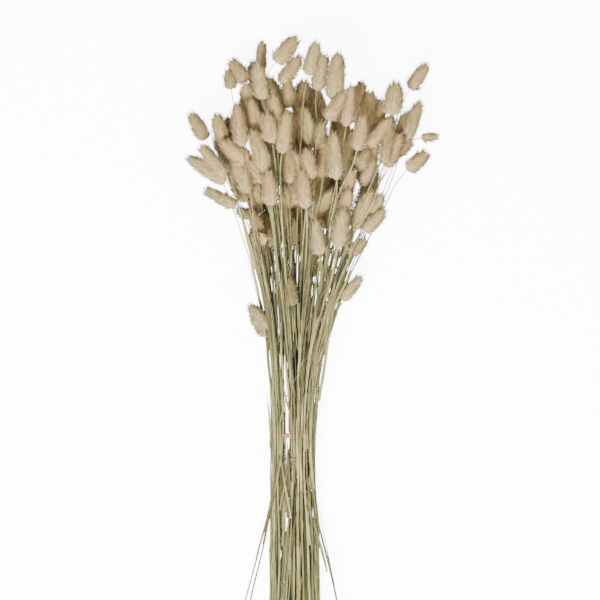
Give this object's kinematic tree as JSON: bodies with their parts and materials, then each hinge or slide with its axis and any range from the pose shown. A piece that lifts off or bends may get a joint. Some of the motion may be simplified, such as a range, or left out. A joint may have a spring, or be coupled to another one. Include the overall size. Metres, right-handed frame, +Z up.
{
  "type": "dried bunny tail grass bunch",
  "caption": "Dried bunny tail grass: a tied bunch of pale straw stems with soft, bristly egg-shaped seed heads, lying down.",
  "frame": {"origin": "on the table, under the middle of the bunch's length and width", "axes": "+Y along the stems to the heads, +Z up from the table the bunch lies on, +X to the right seen from above with the heads away from the viewer"},
  "size_m": [0.252, 0.613, 0.0955],
  "materials": {
    "stem_straw": "matte",
    "rubber_band": "matte",
    "down_pale": "matte",
    "down_tan": "matte",
    "down_brown": "matte",
    "down_shaded": "matte"
  },
  "bodies": {
    "root": {"stems": "stem_straw", "band": "rubber_band", "heads_00_01": "down_tan", "head_02": "down_tan", "head_03": "down_pale", "heads_04_38_83": "down_brown", "head_05": "down_pale", "heads_06_33": "down_tan", "heads_07_08": "down_pale", "heads_09_10_11": "down_pale", "heads_12_13_90": "down_brown", "head_14": "down_pale", "head_15": "down_tan", "heads_16_18_81": "down_tan", "head_17": "down_tan", "head_19": "down_pale", "heads_20_79_80": "down_tan", "head_21": "down_pale", "heads_22_23_78": "down_tan", "head_24": "down_pale", "heads_25_56": "down_pale", "heads_26_57": "down_tan", "heads_27_28_29": "down_tan", "heads_30_32": "down_brown", "head_31": "down_shaded", "heads_34_35_36": "down_pale", "heads_37_39_84": "down_tan", "head_40": "down_pale", "heads_41_47": "down_brown", "head_42": "down_tan", "head_43": "down_tan", "heads_44_45": "down_pale", "head_46": "down_pale", "heads_48_50_51": "down_tan", "heads_49_53_55": "down_brown", "head_52": "down_pale", "head_54": "down_pale", "heads_58_59_66": "down_brown", "heads_60_92": "down_shaded", "heads_61_64": "down_tan", "head_62": "down_brown", "heads_63_65_91": "down_brown", "head_67": "down_pale", "heads_68_71_72": "down_pale", "head_69": "down_tan", "head_70": "down_brown", "heads_73_74_77": "down_tan", "head_75": "down_tan", "head_76": "down_tan", "heads_82_94_97": "down_shaded", "head_85": "down_tan", "head_86": "down_brown", "head_87": "down_brown", "head_88": "down_brown", "heads_89_99": "down_shaded", "head_93": "down_shaded", "head_95": "down_shaded", "head_96": "down_shaded", "head_98": "down_shaded", "heads_100_101": "down_shaded"}
  },
  "joints": []
}
